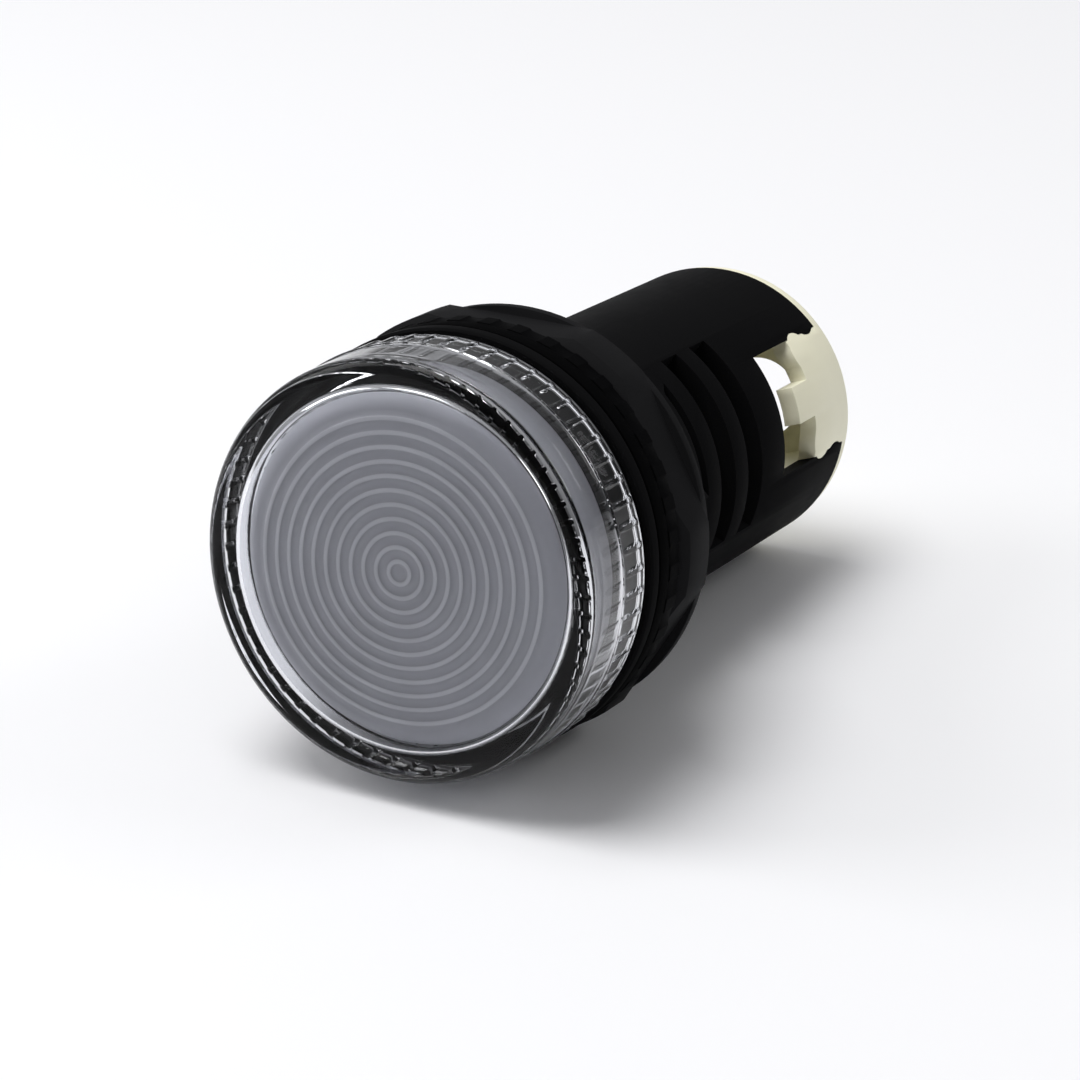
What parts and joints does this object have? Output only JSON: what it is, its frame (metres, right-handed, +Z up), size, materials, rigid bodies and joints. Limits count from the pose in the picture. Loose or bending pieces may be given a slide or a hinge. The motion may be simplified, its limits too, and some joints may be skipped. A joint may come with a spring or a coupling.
{
  "type": "panel pilot light",
  "caption": "Black panel pilot light: ribbed clear lens cap over a white ringed diffuser, mounting nut, slotted barrel and cream screw terminal block",
  "frame": {"origin": "on the barrel's axis at the panel's front face, which is the rear face of the gasket", "axes": "+Y along the barrel's axis from the lens towards the terminals, +Z up across the axis as the piece lies in the picture, +X to the right seen from the lens"},
  "size_m": [0.0288, 0.0495, 0.0282],
  "materials": {
    "clear_polycarbonate": "clear moulded, smooth and shiny",
    "frosted_white": "translucent white, unlit, faintly frosted",
    "black_nylon": "satin black, finely textured",
    "black_rubber": "matt black",
    "black_washer_steel": "blackened steel",
    "cream_plastic": "cream, satin",
    "plated_steel": "zinc plated",
    "brass_plate": "bare stamped brass",
    "board_green": "green solder mask",
    "led_resin": "pale moulded resin",
    "film_yellow": "yellow moulded box",
    "sleeve_black": "black shrunk sleeve",
    "resin_black": "black moulded resin",
    "resistor_blue": "pale blue lacquer"
  },
  "bodies": {
    "housing": {"housing": "black_nylon", "cap_seal": "black_rubber", "panel_gasket": "black_rubber", "led_board": "board_green", "leds": "led_resin", "driver_board": "board_green", "board_pins": "brass_plate", "dropper_capacitor": "film_yellow", "filter_capacitor": "sleeve_black", "bridge_rectifier": "resin_black", "resistors": "resistor_blue", "terminal_block": "cream_plastic", "terminal_plate_right": "brass_plate", "terminal_plate_left": "brass_plate"},
    "diffuser": {"diffuser": "frosted_white"},
    "lens_cap": {"lens_cap": "clear_polycarbonate"},
    "lock_washer": {"lock_washer": "black_washer_steel"},
    "mounting_nut": {"mounting_nut": "black_nylon"},
    "clamp_washer_right": {"clamp_washer_right": "plated_steel"},
    "terminal_screw_right": {"terminal_screw_right": "plated_steel"},
    "clamp_washer_left": {"clamp_washer_left": "plated_steel"},
    "terminal_screw_left": {"terminal_screw_left": "plated_steel"}
  },
  "joints": [
    {"name": "cap_slide", "type": "slide", "parent": "housing", "child": "diffuser", "axis": [0, -1, 0], "range_m": [0, 0.0024]},
    {"name": "cap_turn", "type": "hinge", "parent": "diffuser", "child": "lens_cap", "pos_m": [0, -0.006, 0], "axis": [0, -1, 0], "range_deg": [0, 576]},
    {"name": "nut_slide", "type": "slide", "parent": "housing", "child": "lock_washer", "axis": [0, 1, 0], "range_m": [0, 0.0048]},
    {"name": "nut_turn", "type": "hinge", "parent": "lock_washer", "child": "mounting_nut", "pos_m": [0, 0.0037, 0], "axis": [0, 1, 0], "range_deg": [0, 1728]},
    {"name": "clamp_right_slide", "type": "slide", "parent": "housing", "child": "clamp_washer_right", "axis": [0, 1, 0], "range_m": [0, 0.002]},
    {"name": "screw_right_turn", "type": "hinge", "parent": "clamp_washer_right", "child": "terminal_screw_right", "pos_m": [0.00377, 0.02795, 0.00134], "axis": [0, 1, 0], "range_deg": [0, 1440]},
    {"name": "clamp_left_slide", "type": "slide", "parent": "housing", "child": "clamp_washer_left", "axis": [0, 1, 0], "range_m": [0, 0.002]},
    {"name": "screw_left_turn", "type": "hinge", "parent": "clamp_washer_left", "child": "terminal_screw_left", "pos_m": [-0.00377, 0.02795, -0.00134], "axis": [0, 1, 0], "range_deg": [0, 1440]}
  ],
  "couplings": [
    {"joint": "cap_slide", "follows": "cap_turn", "m_per_rad": 0.00023873},
    {"joint": "nut_slide", "follows": "nut_turn", "m_per_rad": 0.00015915},
    {"joint": "screw_right_turn", "follows": "clamp_right_slide", "rad_per_m": 12566},
    {"joint": "screw_left_turn", "follows": "clamp_left_slide", "rad_per_m": 12566}
  ]
}
